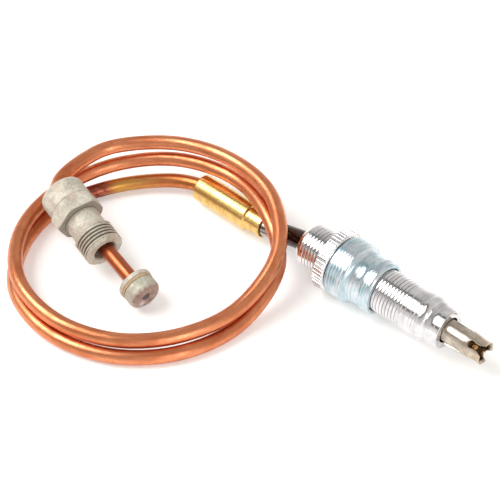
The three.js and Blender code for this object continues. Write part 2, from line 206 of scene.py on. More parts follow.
class ThermocoupleStudio(bpy.types.PropertyGroup):
    """Floor, lights and camera."""

    floor: tint("f4f3f1", "Floor", "Colour of the plain floor")
    key: FloatProperty(
        name="Key light", description="Power of the overhead softbox", default=2.9, min=0.0,
        subtype="POWER", unit="POWER",
    )
    fill: FloatProperty(
        name="Fill light", description="Power of the side strip", default=0.5, min=0.0,
        subtype="POWER", unit="POWER",
    )
    sky: FloatProperty(
        name="Surroundings", description="Brightness of the room round the part", default=1.15,
        min=0.0,
    )
    focal: FloatProperty(
        name="Lens", description="Focal length in millimetres", default=142.1, min=10.0,
        subtype="DISTANCE_CAMERA", unit="CAMERA",
    )
    stand: length(420.0, "Camera distance", "Camera to the point that it looks at")
    azimuth: FloatProperty(
        name="Azimuth", description="Turn of the camera round the part",
        default=math.radians(42.2), subtype="ANGLE", unit="ROTATION",
    )
    elevation: FloatProperty(
        name="Elevation", description="Height of the camera above the horizon",
        default=math.radians(45), subtype="ANGLE", unit="ROTATION",
    )


# ---- placing --------------------------------------------------------------------------


def aimed(position, heading=0.0, climb=0.0):
    """A matrix in millimetres whose X axis points along a heading and a climb."""
    turn = Matrix.Rotation(heading, 4, "Z") @ Matrix.Rotation(-climb, 4, "Y")
    return Matrix.Translation(Vector(position)) @ turn


HOT = aimed(HOT_END)
BRASS = aimed(JOINT, JOINT_HEADING, JOINT_CLIMB)
CONTACT = aimed(CONTACT_END, LEAD_HEADING, LEAD_CLIMB)
NUT = aimed(CONTACT @ Vector((-NUT_FRONT - NUT_LENGTH / 2, 0, 0)), NUT_HEADING, LEAD_CLIMB)


def on(axis, x):
    """A point on an axis, x millimetres along it."""
    return axis @ Vector((x, 0, 0))


def metres(axis):
    """The same placing with its offset in metres."""
    placed = axis.copy()
    placed.translation = axis.translation * MM
    return placed


def added(name, data):
    """A new object, linked into the scene."""
    made = bpy.data.objects.new(name, data)
    bpy.context.scene.collection.objects.link(made)
    return made


def settle(name, mesh, axis, material, body, nodes):
    """Puts a mesh in the scene, on its body, in place of its CAD nodes."""
    piece = added(name, mesh)
    piece.matrix_world = metres(axis)
    mesh.materials.append(material)
    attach(piece, body)
    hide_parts(*nodes)
    return piece


def crisp(piece, angle=34.0):
    """Smooth shading with sharp edges kept, and flat faces that shade flat."""
    piece.data.set_sharp_from_angle(angle=math.radians(angle))
    weighted = piece.modifiers.new("flat faces", "WEIGHTED_NORMAL")
    weighted.keep_sharp = True
    weighted.weight = 60
    return piece


# ---- turning --------------------------------------------------------------------------


def broken(outline, edge):
    """The outline with each corner eased over a small radius; a Thread passes through."""
    points = []
    for item in outline:
        if isinstance(item, Thread):
            points.append((item.x0, item.crest, 0.0, item))
            points.append((item.x1, item.crest, 0.0, None))
        else:
            points.append((item[0], item[1], item[2] if len(item) > 2 else edge, None))
    eased = []
    count = len(points)
    for i, (x, r, ease, thread) in enumerate(points):
        here = Vector((x, r))
        before = Vector(points[i - 1][:2]) - here
        after = Vector(points[(i + 1) % count][:2]) - here
        turn = math.pi - before.angle(after, math.pi)
        if r <= 0 or ease <= 0 or turn < math.radians(8) or thread:
            eased.append((here, thread))
            continue
        reach_in = min(ease, before.length * 0.42)
        reach_out = min(ease, after.length * 0.42)
        start = here + before.normalized() * reach_in
        end = here + after.normalized() * reach_out
        steps = 3 if turn > math.radians(40) else 2
        for k in range(steps + 1):
            t = k / steps
            point = start * (1 - t) ** 2 + here * 2 * t * (1 - t) + end * t**2
            eased.append((point, None))
    return eased


def thread_rings(thread, sides):
    """Rings of (x, r, groove) that follow a right-hand helix and run out at both ends."""
    samples = len(thread.form)
    turns = math.ceil((thread.x1 - thread.x0) / thread.pitch) + 1
    share_round = np.arange(sides + 1) / sides
    rings = []
    for i in range(-samples, turns * samples):
        along, depth = thread.form[i % samples]
        x = thread.x0 + (i // samples + along - share_round) * thread.pitch
        x += thread.pitch
        left = np.minimum(x - thread.x0, thread.x1 - x) / (0.9 * thread.pitch)
        groove = depth * np.clip(left, 0, 1)
        radius = thread.crest - thread.depth * groove
        rings.append((np.clip(x, thread.x0, thread.x1), radius, groove))
    return rings


def held(points, near=0.04, least=0.25):
    """The (point, thread) list with a support ring near both ends of each long straight run,
    which keeps the shading of flats and barrels straight."""
    out = []
    for (point, thread), (following, _) in zip(points, points[1:]):
        out.append((point, thread))
        run = following - point
        if not thread and run.length > least:
            step = run.normalized() * near
            out.append((point + step, None))
            out.append((following - step, None))
    out.append(points[-1])
    return out


def turned(outline, sides, edge, form=None):
    """A mesh turned about X from a closed outline of (x, r[, ease]) and Thread items.
    form(x, r, angle) may reshape the radius, for flutes and flats."""
    angle = np.linspace(0, 2 * math.pi, sides + 1)
    rings = []
    level = np.ones(sides + 1)
    for point, thread in held(broken(outline, edge)):
        rings.append((point.x * level, point.y * level, 0 * level))
        if thread:
            rings.extend(thread_rings(thread, sides))
    rings.append(rings[0])
    x = np.array([ring[0] for ring in rings])
    r = np.array([ring[1] for ring in rings])
    groove = np.array([ring[2] for ring in rings])
    if form:
        r = form(x, r, angle[None, :] + np.zeros_like(x))
    corners = np.stack([x, r * np.cos(angle), r * np.sin(angle)], axis=-1) * MM
    return grid_mesh(corners, {"groove": groove})


def grid_mesh(corners, values):
    """A mesh from a grid of points; touching rows and columns are joined."""
    rows, columns, _ = corners.shape
    index = np.arange(rows * columns).reshape(rows, columns)
    faces = np.stack(
        [index[:-1, :-1], index[:-1, 1:], index[1:, 1:], index[1:, :-1]], axis=-1
    ).reshape(-1, 4)
    mesh = bpy.data.meshes.new("piece")
    mesh.from_pydata(corners.reshape(-1, 3).tolist(), [], faces.tolist())
    for name, data in values.items():
        kind = "FLOAT_VECTOR" if data.ndim == 3 else "FLOAT"
        field = "vector" if data.ndim == 3 else "value"
        layer = mesh.attributes.new(name, kind, "POINT")
        layer.data.foreach_set(field, data.astype(np.float32).ravel())
    joined(mesh)
    return mesh


def smoothed(work, mesh):
    """Writes the work into the mesh with smooth faces, and frees it."""
    for face in work.faces:
        face.smooth = True
    work.to_mesh(mesh)
    work.free()


def joined(mesh, distance=SEAM):
    """Merges doubled vertices, drops empty faces and turns every face outwards."""
    work = bmesh.new()
    work.from_mesh(mesh)
    bmesh.ops.remove_doubles(work, verts=work.verts, dist=distance)
    bmesh.ops.dissolve_degenerate(work, edges=work.edges, dist=distance)
    bmesh.ops.recalc_face_normals(work, faces=work.faces)
    smoothed(work, mesh)


# ---- sweeping -------------------------------------------------------------------------


def smooth_route(stations, steps):
    """A smooth line through the stations, centripetal, with the same steps in each span."""
    points = [np.array(p, float) for p in stations]
    points = [2 * points[0] - points[1], *points, 2 * points[-1] - points[-2]]
    line = []
    for i in range(1, len(points) - 2):
        p0, p1, p2, p3 = points[i - 1 : i + 3]
        d0, d1, d2 = (np.linalg.norm(b - a) ** 0.5 for a, b in ((p0, p1), (p1, p2), (p2, p3)))
        m1 = ((p1 - p0) / d0 - (p2 - p0) / (d0 + d1) + (p2 - p1) / d1) * d1
        m2 = ((p2 - p1) / d1 - (p3 - p1) / (d1 + d2) + (p3 - p2) / d2) * d1
        for k in range(steps):
            t = k / steps
            line.append(
                p1 + m1 * t + (3 * (p2 - p1) - 2 * m1 - m2) * t**2
                + (2 * (p1 - p2) + m1 + m2) * t**3
            )
    line.append(points[-2])
    return np.array(line)


def carried_frames(line):
    """Directions and carried side vectors along a line, without twist."""
    ahead = np.gradient(line, axis=0)
    ahead /= np.linalg.norm(ahead, axis=1)[:, None]
    side = np.cross(ahead[0], (0, 0, 1))
    side /= np.linalg.norm(side)
    sides = [side]
    for i in range(1, len(line)):
        side = side - ahead[i] * (side @ ahead[i])
        side /= np.linalg.norm(side)
        sides.append(side)
    sides = np.array(sides)
    return ahead, sides, np.cross(ahead, sides)


def swept(line, diameter, bore, sides, dents=(), swell=0.0):
    """A tube along a line. Each dent is (distance, angle, width, depth)."""
    _, side, up = carried_frames(line)
    run = np.concatenate([[0], np.cumsum(np.linalg.norm(np.diff(line, axis=0), axis=1))])
    angle = np.linspace(0, 2 * math.pi, sides + 1)
    radius = np.full((len(line), sides + 1), diameter / 2)
    if swell:
        waves = [0.5 + 0.5 * noise.noise((s * 0.11, 4.0, 7.0)) for s in run]
        radius -= swell * np.array(waves)[:, None]
    for place, turn, width, depth in dents:
        round_gap = (angle - turn + math.pi) % (2 * math.pi) - math.pi
        gap = ((run - place)[:, None] / width) ** 2
        gap = gap + (round_gap[None, :] * diameter / 2 / width) ** 2
        radius -= depth * np.exp(-gap)
    cosine, sine = np.cos(angle)[None, :, None], np.sin(angle)[None, :, None]
    spokes = side[:, None, :] * cosine + up[:, None, :] * sine
    outer = line[:, None, :] + spokes * radius[:, :, None]
    inner = line[:, None, :] + spokes * (bore / 2)
    corners = np.concatenate([outer, inner[::-1], outer[:1]]) * MM
    straight = np.stack(
        [
            run[:, None] + 0 * radius,
            radius * np.cos(angle)[None, :],
            radius * np.sin(angle)[None, :],
        ],
        axis=-1,
    )
    straight = np.concatenate([straight, straight[::-1], straight[:1]])
    return grid_mesh(corners, {"drawn": straight}), run[-1]


# ---- finishes -------------------------------------------------------------------------


class Paint:
    """A Principled material and short ways to add nodes to it."""

    def __init__(self, name, metallic=1.0, roughness=0.3):
        self.material = bpy.data.materials.new(name)
        self.material.use_nodes = True
        self.nodes = self.material.node_tree.nodes
        self.links = self.material.node_tree.links
        self.shader = self.nodes["Principled BSDF"]
        self.shader.inputs["Metallic"].default_value = metallic
        self.shader.inputs["Roughness"].default_value = roughness

    def node(self, kind, inputs=(), **settings):
        made = self.nodes.new("ShaderNode" + kind)
        for key, value in settings.items():
            setattr(made, key, value)
        for key, value in dict(inputs).items():
            self.put(made.inputs[key], value)
        return made

    def put(self, socket, value):
        """Links a socket or sets its own value. A colour may be six hex digits."""
        if isinstance(value, bpy.types.NodeSocket):
            self.links.new(value, socket)
            return
        if isinstance(value, str):
            value = linear(value)
        if socket.type == "RGBA" and len(value) == 3:
            value = (*value, 1.0)
        socket.default_value = value

    def sum(self, operation, a, b=0.0):
        return self.node("Math", {0: a, 1: b}, operation=operation).outputs[0]

    def times(self, a, b):
        return self.sum("MULTIPLY", a, b)

    def plus(self, a, b):
        return self.sum("ADD", a, b)

    def along(self, vector):
        """The part of a vector along the piece's axis or run."""
        return self.node("SeparateXYZ", {0: vector}).outputs[0]

    def band(self, value, rise, fall):
        """0, up to 1 over the rise, and back to 0 over the fall."""
        return self.times(self.between(value, *rise), self.between(value, fall[1], fall[0]))

    def place(self):
        """The point's place on the piece, in millimetres."""
        local = self.node("TexCoord").outputs["Object"]
        return self.scaled(local, (1000.0,) * 3)

    def attribute(self, name):
        return self.node("Attribute", attribute_name=name)

    def scaled(self, vector, by):
        return self.node("VectorMath", {0: vector, 1: by}, operation="MULTIPLY").outputs[0]

    def cloud(self, vector, scale=1.0, detail=3.0, rough=0.5, distortion=0.0):
        inputs = {
            "Vector": vector, "Scale": scale, "Detail": detail, "Roughness": rough,
            "Distortion": distortion,
        }
        return self.node("TexNoise", inputs).outputs["Fac"]

    def between(self, value, low, high, to_low=0.0, to_high=1.0):
        inputs = {
            "Value": value, "From Min": low, "From Max": high, "To Min": to_low,
            "To Max": to_high,
        }
        return self.node("MapRange", inputs, clamp=True).outputs["Result"]

    def stain(self, base, value, span, most, colour):
        """The base, tinted by up to most where the value passes through the span."""
        return self.blend(self.between(value, *span, 0.0, most), base, colour)

    def blend(self, factor, a, b):
        made = self.node("Mix", data_type="RGBA", blend_type="MIX")
        self.put(made.inputs["Factor"], factor)
        self.put(made.inputs[6], a)
        self.put(made.inputs[7], b)
        return made.outputs[2]

    def specks(self, vector, scale, size):
        """Small scattered spots, 1 inside a spot."""
        cells = self.node("TexVoronoi", {"Vector": vector, "Scale": scale})
        near = self.between(cells.outputs["Distance"], size, size * 0.5)
        draw = self.node("SeparateColor", {0: cells.outputs["Color"]}).outputs[0]
        return self.times(near, self.between(draw, 0.62, 0.68))

    def edges(self, radius):
        """1 on convex and concave edges, 0 on open faces."""
        rounded = self.node("Bevel", {"Radius": radius * MM}, samples=6).outputs[0]
        plain = self.node("NewGeometry").outputs["Normal"]
        same = self.node("VectorMath", {0: rounded, 1: plain}, operation="DOT_PRODUCT")
        return self.between(self.sum("SUBTRACT", 1.0, same.outputs["Value"]), 0.01, 0.09)

    def relief(self, height, depth, normal=None):
        """Bump whose full height is depth millimetres."""
        inputs = {"Height": height, "Distance": depth * MM, "Strength": 1.0}
        if normal:
            inputs["Normal"] = normal
        return self.node("Bump", inputs).outputs[0]

    def colour(self, value):
        self.put(self.shader.inputs["Base Color"], value)

    def rough(self, value):
        self.put(self.shader.inputs["Roughness"], value)

    def done(self, colour, normal):
        """Sets the colour and the bump, and gives the finished material."""
        self.colour(colour)
        self.put(self.shader.inputs["Normal"], normal)
        return self.material


def turning_marks(paint, place, fine, drift=0.05):
    """Cutting marks round the axis on barrels and rings on faces."""
    parts = paint.node("SeparateXYZ", {0: place})
    out = paint.node("CombineXYZ", {1: parts.outputs[1], 2: parts.outputs[2]}).outputs[0]
    radius = paint.node("VectorMath", {0: out}, operation="LENGTH").outputs["Value"]
    across = paint.plus(parts.outputs[0], radius)
    inputs = {
        0: paint.times(across, fine),
        1: paint.times(parts.outputs[1], drift),
        2: paint.times(parts.outputs[2], drift),
    }
    marks = paint.node("CombineXYZ", inputs).outputs[0]
    return paint.cloud(marks, 1.0, 3.0, 0.6)


def copper_finish(finishes, run):
    """Drawn copper: fine streaks along the tube, tarnish, a heated place and small nicks.
    run is the tube's length, so that its end at the contact can be redder."""
    paint = Paint("bare_copper_drawn")
    drawn = paint.attribute("drawn").outputs["Vector"]
    streaks = paint.cloud(paint.scaled(drawn, (0.06, 3.0, 3.0)), 1.0, 4.0, 0.65)
    fine = paint.cloud(paint.scaled(drawn, (0.5, 11.0, 11.0)), 1.0, 3.0, 0.6)
    blotch = paint.cloud(paint.scaled(drawn, (0.14, 0.35, 0.35)), 1.0, 4.0, 0.6, 0.5)
    smear = paint.cloud(paint.scaled(drawn, (0.7, 1.6, 1.6)), 1.0, 4.0, 0.65, 0.4)
    deep = paint.between(blotch, 0.38, 0.72, 0.0, 0.75)
    base = paint.blend(deep, finishes.copper, finishes.copper_deep)
    base = paint.stain(base, streaks, (0.52, 0.8), 0.35, "9a4f2e")
    base = paint.stain(base, smear, (0.55, 0.75), 0.3, "a55f38")
    base = paint.stain(base, fine, (0.55, 0.8), 0.3, "f2c4a8")
    along = paint.along(drawn)
    uneven = paint.between(smear, 0.3, 0.6, 0.45, 1.0)
    straw = paint.band(along, *STRAW)
    plum = paint.band(along, *PLUM)
    warm = paint.between(along, 24.0, 14.0, 0.0, 0.75)
    # Redder, darker copper towards the contact end.
    rubbed = paint.times(paint.between(along, run - RED_END, run - RED_END + 2), 0.75)
    base = paint.blend(paint.times(warm, uneven), base, "b06a34")
    base = paint.blend(rubbed, base, "a45538")
    base = paint.blend(paint.times(straw, uneven), base, finishes.copper_gold)
    base = paint.blend(paint.times(plum, uneven), base, finishes.copper_plum)
    spots = paint.specks(paint.scaled(drawn, (0.7, 1.1, 1.1)), 1.0, 0.15)
    base = paint.blend(paint.times(spots, 0.75), base, "5a2b1a")
    paint.rough(paint.between(paint.plus(blotch, smear), 0.7, 1.35, 0.24, 0.42))
    height = paint.plus(paint.times(streaks, 0.5), paint.times(fine, 0.5))
    bump = paint.relief(height, 0.012)
    bump = paint.relief(smear, 0.03, bump)
    return paint.done(base, paint.relief(paint.sum("SUBTRACT", 1.0, spots), 0.02, bump))


def turned_finish(name, clean, stained, roughness, marks=0.004, fine=3.2, groove_shade=None):
    """Turned metal: cutting marks, faint stains, scratches and painted shade in the grooves."""
    paint = Paint(name)
    place = paint.place()
    cuts = turning_marks(paint, place, fine)
    hairs = turning_marks(paint, place, fine * 3.1, 0.3)
    blotch = paint.cloud(place, 0.34, 4.0, 0.6, 0.3)
    base = paint.blend(paint.between(blotch, 0.42, 0.72, 0.0, 0.55), clean, stained)
    base = paint.stain(base, cuts, (0.45, 0.72), 0.5, stained)
    base = paint.stain(base, hairs, (0.55, 0.8), 0.35, stained)
    scratches = paint.cloud(paint.scaled(place, (0.6, 5.0, 5.0)), 1.3, 2.0, 0.7, 0.6)
    base = paint.stain(base, scratches, (0.66, 0.74), 0.22, stained)
    # Painted shade in the thread roots and flanks, following the groove depth.
    if groove_shade:
        groove = paint.attribute("groove").outputs["Fac"]
        base = paint.stain(base, groove, (0.3, 1.0), 0.7, groove_shade)
    paint.rough(paint.between(paint.plus(cuts, blotch), 0.75, 1.35, roughness, roughness + 0.14))
    bump = paint.relief(cuts, marks)
    bump = paint.relief(hairs, marks * 0.5, bump)
    return paint.done(base, paint.relief(scratches, 0.003, bump))


def aluminium_finish(finishes, name="turned_aluminium_bright", fine=2.6):
    """Bright aluminium with grey cutting marks and painted shade in the thread grooves."""
    # The last colour is painted shade for the thread grooves.
    return turned_finish(name, finishes.aluminium, "a9a8ad", 0.12, 0.003, fine, "5f5f66")


def brass_finish(finishes):
    """Bright brass with close turning marks and a soft golden stain."""
    clean, deep = finishes.brass, finishes.brass_deep
    return turned_finish("yellow_brass_turned", clean, deep, 0.2, 0.009, 3.4)


def zinc_finish(finishes):
    """Pale blue plating that drifts to teal and grey, over fine grooves."""
    paint = Paint("zinc_plate_satin")
    place = paint.place()
    cuts = turning_marks(paint, place, 3.0)
    hairs = turning_marks(paint, place, 9.0, 0.2)
    drift = paint.cloud(paint.scaled(place, (0.5, 0.22, 0.22)), 1.0, 3.0, 0.55, 0.5)
    teal = paint.between(drift, 0.42, 0.62, 0.1, 0.95)
    base = paint.blend(teal, finishes.zinc, finishes.zinc_teal)
    pale = paint.between(paint.cloud(place, 0.35, 2.0), 0.5, 0.66, 0.0, 0.7)
    base = paint.blend(pale, base, "dcdde4")
    base = paint.stain(base, cuts, (0.45, 0.72), 0.5, "7f959f")
    base = paint.stain(base, hairs, (0.55, 0.8), 0.35, "6d7f88")
    spots = paint.specks(place, 1.4, 0.12)
    base = paint.blend(paint.times(spots, 0.5), base, "5b666c")
    paint.rough(paint.between(cuts, 0.3, 0.7, 0.2, 0.34))
    bump = paint.relief(cuts, 0.006)
    return paint.done(base, paint.relief(hairs, 0.002, bump))


def nickel_finish(finishes):
    """Warm bright plating, golden near the weld, with rolled grain along the strip."""
    paint = Paint("nickel_plate_warm")
    place = paint.place()
    grain = paint.cloud(paint.scaled(place, (0.35, 5.0, 5.0)), 1.0, 3.0, 0.6)
    blotch = paint.cloud(place, 0.6, 3.0, 0.55, 0.4)
    base = paint.blend(paint.between(blotch, 0.4, 0.7, 0.0, 0.8), finishes.nickel, "8f8478")
    along = paint.along(place)
    patchy = paint.between(blotch, 0.42, 0.65, 0.0, 0.5)
    heat = paint.times(paint.between(along, 21.5, 24.5), patchy)
    base = paint.blend(heat, base, finishes.nickel_gold)
    base = paint.stain(base, grain, (0.5, 0.8), 0.3, "ded8cd")
    spots = paint.specks(place, 1.7, 0.13)
    base = paint.blend(paint.times(spots, 0.55), base, "4f443b")
    paint.rough(paint.between(paint.plus(grain, blotch), 0.7, 1.3, 0.2, 0.36))
    return paint.done(base, paint.relief(grain, 0.006))


def tin_finish(finishes, name="tin_plate_dull", shift=(0.0, 0.0, 0.0), crease=None):
    """Dull tin with a fine grain, worn to pinkish metal; dirt and painted shade in the grooves.
    crease is the place along the axis of a corner darkened with painted shade."""
    paint = Paint(name, metallic=0.3)
    local = paint.place()
    place = paint.node("VectorMath", {0: local, 1: shift}, operation="ADD").outputs[0]
    cuts = turning_marks(paint, local, 3.0)
    mottle = paint.cloud(place, 0.55, 6.0, 0.7, 0.4)
    patches = paint.cloud(place, 0.26, 4.0, 0.6, 0.3)
    grain = paint.cloud(place, 4.2, 3.0, 0.7)
    base = paint.blend(paint.between(mottle, 0.42, 0.72), finishes.tin, "a49c8c")
    base = paint.stain(base, grain, (0.5, 0.66), 0.5, "e6e1d6")
    base = paint.stain(base, grain, (0.44, 0.3), 0.6, "8a8172")
    base = paint.stain(base, cuts, (0.55, 0.8), 0.25, "99917f")
    rubbed = paint.times(paint.edges(0.25), paint.between(mottle, 0.38, 0.55))
    worn = paint.sum("MAXIMUM", rubbed, paint.between(patches, 0.53, 0.64, 0.0, 0.65))
    base = paint.blend(paint.times(worn, finishes.wear), base, finishes.bare)
    # Dirt and painted shade in the thread roots and flanks, following the groove depth.
    groove = paint.attribute("groove").outputs["Fac"]
    base = paint.stain(base, groove, (0.12, 0.7), 0.9, finishes.tin_dirt_and_shade)
    # Painted shade in the corner at crease.
    if crease is not None:
        away = paint.sum("ABSOLUTE", paint.sum("SUBTRACT", paint.along(local), crease))
        corner_shade = paint.plus(away, paint.times(mottle, 0.35))
        base = paint.stain(base, corner_shade, (0.42, 0.2), 0.85, finishes.tin_dirt_and_shade)
    spots = paint.specks(place, 1.9, 0.2)
    base = paint.blend(paint.times(spots, 0.8), base, "5a5046")
    paint.rough(paint.between(mottle, 0.3, 0.7, 0.58, 0.78))
    bump = paint.relief(grain, 0.025)
    return paint.done(base, paint.relief(mottle, 0.03, bump))


def alloy_finish(finishes):
    """Glossy dark rod, brighter next to the brass, with rolling streaks."""
    paint = Paint("dark_alloy_glossy", metallic=0.85)
    drawn = paint.attribute("drawn").outputs["Vector"]
    streaks = paint.cloud(paint.scaled(drawn, (0.12, 2.6, 2.6)), 1.0, 4.0, 0.6)
    scale = paint.cloud(paint.scaled(drawn, (0.6, 0.9, 0.9)), 1.0, 4.0, 0.6, 0.3)
    base = paint.blend(paint.between(scale, 0.4, 0.7), finishes.alloy, "4a342a")
    base = paint.stain(base, streaks, (0.55, 0.8), 0.5, "6d5a50")
    along = paint.along(drawn)
    lines = paint.cloud(paint.scaled(drawn, (0.05, 2.2, 2.2)), 1.0, 1.0, 0.4)
    streaky = paint.between(lines, 0.42, 0.5, 0.1, 1.0)
    bright = paint.times(paint.between(along, 12.2, 11.2), streaky)
    base = paint.blend(bright, base, finishes.alloy_clean)
    paint.rough(paint.between(scale, 0.3, 0.7, 0.16, 0.34))
    paint.shader.inputs["Coat Weight"].default_value = 0.35
    paint.shader.inputs["Coat Roughness"].default_value = 0.12
    return paint.done(base, paint.relief(paint.plus(streaks, scale), 0.02))


def fibre_finish(finishes, name="fibre_tan", colour=None, strand="6d4a26"):
    """Matt pressed fibre: short strands and soft pits."""
    paint = Paint(name, metallic=0.0, roughness=0.8)
    place = paint.place()
    strands = paint.cloud(paint.scaled(place, (2.0, 9.0, 3.0)), 1.0, 4.0, 0.7, 0.8)
    pits = paint.cloud(place, 3.0, 3.0, 0.6)
    tone = colour or finishes.fibre
    base = paint.blend(paint.between(strands, 0.4, 0.7), tone, strand)
    paint.rough(paint.between(pits, 0.3, 0.7, 0.7, 0.92))
    return paint.done(base, paint.relief(paint.plus(strands, pits), 0.03))


def solder_finish(name, dull, bright):
    """A frozen bead: rippled skin, dark in the hollows."""
    paint = Paint(name)
    place = paint.place()
    ripple = paint.cloud(place, 1.6, 4.0, 0.6, 0.8)
    crust = paint.cloud(place, 4.5, 3.0, 0.6)
    base = paint.blend(paint.between(ripple, 0.35, 0.68), dull, bright)
    base = paint.stain(base, crust, (0.55, 0.75), 0.5, "4b423a")
    paint.rough(paint.between(crust, 0.3, 0.7, 0.28, 0.5))
    return paint.done(base, paint.relief(paint.plus(ripple, crust), 0.05))


def button_finish():
    """Tin worn to a mauve-grey face round the solder, with one whitish patch on it."""
    paint = Paint("tin_plate_button", metallic=0.4)
    place = paint.place()
    mottle = paint.cloud(place, 0.8, 6.0, 0.7, 0.5)
    grain = paint.cloud(place, 4.2, 3.0, 0.7)
    side = paint.blend(paint.between(mottle, 0.35, 0.7), "c9c5b6", "97937f")
    face = paint.blend(paint.between(mottle, 0.35, 0.68), "b59a8f", "866a60")
    along = paint.along(place)
    front = paint.between(paint.plus(along, paint.times(mottle, 0.9)), 0.1, 0.55)
    base = paint.blend(front, side, face)
    bright = paint.node("VectorMath", {0: place, 1: (0.3, -1.2, -1.3)}, operation="DISTANCE")
    near = paint.plus(bright.outputs["Value"], paint.times(mottle, 1.2))
    base = paint.stain(base, near, (1.7, 0.9), 0.8, "ddd6d6")
    base = paint.stain(base, grain, (0.5, 0.7), 0.35, "e0dad0")
    spots = paint.specks(place, 2.4, 0.18)
    base = paint.blend(paint.times(spots, 0.65), base, "463a35")
    paint.rough(paint.between(mottle, 0.3, 0.7, 0.45, 0.66))
    bump = paint.relief(grain, 0.025)
    return paint.done(base, paint.relief(mottle, 0.04, bump))


# ---- pieces ---------------------------------------------------------------------------


class PieceOperator:
    """What every operator here shares."""

    bl_options = {"REGISTER", "UNDO"}

    def settings(self, context):
        scene = context.scene
        return scene.thermocouple_sizes, scene.thermocouple_finishes

    def turn(self, context, name, outline, axis, finish, slot, node, body="core", form=None):
        """Turns one piece and puts it in place of its CAD node."""
        sizes, _ = self.settings(context)
        mesh = turned(outline, sizes.sides, sizes.edge / MM, form)
        crisp(settle(name, mesh, axis, finish, body, [node]))


class OBJECT_OT_lead(PieceOperator, bpy.types.Operator):
    """Bends the copper lead from its connector, round the coil and into the brass joint"""

    bl_idname = "thermocouple.lead"
    bl_label = "Copper lead"

    def execute(self, context):
        sizes, finishes = self.settings(context)
        coil = []
        for i, (radius, height) in enumerate(COIL_STATIONS):
            turn = math.radians(COIL_FIRST + i * COIL_STEP)
            x = COIL_CENTRE[0] + radius * math.cos(turn)
            coil.append((x, COIL_CENTRE[1] + radius * math.sin(turn), height))
        stations = [
            on(BRASS, -15.2), on(BRASS, -JOINT_LENGTH), on(BRASS, -JOINT_LENGTH - 1), *coil,
            *BEND, on(CONTACT, -32.6), on(CONTACT, -31.2), on(CONTACT, -3.3),
        ]
        line = smooth_route(stations, sizes.tube_steps)
        chance = random.Random(DENT_SEED)
        dents = [
            (
                chance.uniform(6, 420), chance.uniform(0, 2 * math.pi),
                chance.uniform(0.5, 1.6), chance.uniform(0.02, 0.07),
            )
            for _ in range(sizes.dents)
        ]
        mesh, run = swept(line, LEAD_OD, LEAD_BORE, sizes.tube_sides, dents, 0.03)
        finish = copper_finish(finishes, run)
        settle(
            "lead_copper", mesh, Matrix.Identity(4), finish, "core",
            ["lead_tube"],
        )
        print(f"lead length {run:.1f} mm")
        return {"FINISHED"}


class OBJECT_OT_element(PieceOperator, bpy.types.Operator):
    """Sweeps the dark element rod from the brass joint through to the spring clip"""

    bl_idname = "thermocouple.element"
    bl_label = "Element rod"

    def execute(self, context):
        sizes, finishes = self.settings(context)
        stations = [
            on(BRASS, -8.5), on(BRASS, 0), (-5.5, 22.5, 4.75), (-2.0, 22.65, 5.6),
            (1.5, 22.75, 6.45), (4.0, 22.8, 6.88), (7.5, 22.8, 6.95), on(HOT, 20.8),
        ]
        line = smooth_route(stations, sizes.tube_steps)
        mesh, _ = swept(line, SHEATH_OD, 3.1, 40, (), 0.02)
        piece = settle(
            "element_rod", mesh, Matrix.Identity(4), alloy_finish(finishes), "core",
            ["element_sheath"],
        )
        crisp(piece, 60)
        return {"FINISHED"}


class OBJECT_OT_joint(PieceOperator, bpy.types.Operator):
    """Turns the brass joint sleeve with its stepped small end"""

    bl_idname = "thermocouple.joint"
    bl_label = "Brass joint"

    def execute(self, context):
        _, finishes = self.settings(context)
        body, step = JOINT_OD / 2, 2.65
        outline = [
            (-JOINT_LENGTH, 1.74, 0.1), (-JOINT_LENGTH, body, 0.35), (-12.4, body, 0.0),
            (-12.2, body - 0.05), (-12.0, body, 0.0), (-4.5, body, 0.12), (-4.2, step, 0.1),
            (-3.4, step, 0.0), (-3.3, step - 0.05), (-3.2, step, 0.0), (0, step, 0.28),
            (0, 2.3, 0.1), (-14.6, 2.3), (-14.6, 1.74),
        ]
        finish = brass_finish(finishes)
        self.turn(context, "joint_brass", outline, BRASS, finish, "yellow_brass", "joint_sleeve")
        return {"FINISHED"}


class OBJECT_OT_contact(PieceOperator, bpy.types.Operator):
    """Makes the contact button, its solder, the fibre washer and the collar"""

    bl_idname = "thermocouple.contact"
    bl_label = "Contact end"

    def execute(self, context):
        _, finishes = self.settings(context)
        button = [
            (-2.7, 0.7), (-2.7, 3.6, 0.2), (-0.35, 3.6, 0.6), (0.4, 2.85, 0.6), (0.4, 1.5, 0.2),
            (0.1, 1.0, 0.15), (-0.1, 0.7),
        ]
        solder = [(-0.1, 0.0), (-0.1, 0.95), (0.1, 0.9, 0.15), (0.22, 0.5, 0.2), (0.2, 0.0)]
        washer = [(-3.3, 0.72), (-3.3, 3.66, 0.1), (-2.72, 3.66, 0.1), (-2.72, 0.72)]
        collar = [
            (-4.8, 1.63), (-4.8, 2.8, 0.3), (-4.5, 3.55, 0.4), (-4.1, 3.8, 0.4),
            (-3.5, 3.8, 0.25), (-3.32, 3.55, 0.1), (-3.32, 1.63),
        ]
        worn = button_finish()
        dark = solder_finish("solder_dark", "3b342f", "7d746b")
        dull = tin_finish(finishes, "tin_plate_collar", (9.0, 2.0, 5.0))
        pieces = [
            ("button_worn", button, worn, "tinned_metal", "contact_button"),
            ("button_solder", solder, dark, "solder", "contact_solder"),
            ("washer_fibre", washer, fibre_finish(finishes), "fibre", "insulating_washer"),
            ("collar_tinned", collar, dull, "tinned_metal", "lead_collar"),
        ]
        for name, outline, finish, slot, node in pieces:
            self.turn(context, name, outline, CONTACT, finish, slot, node)
        return {"FINISHED"}


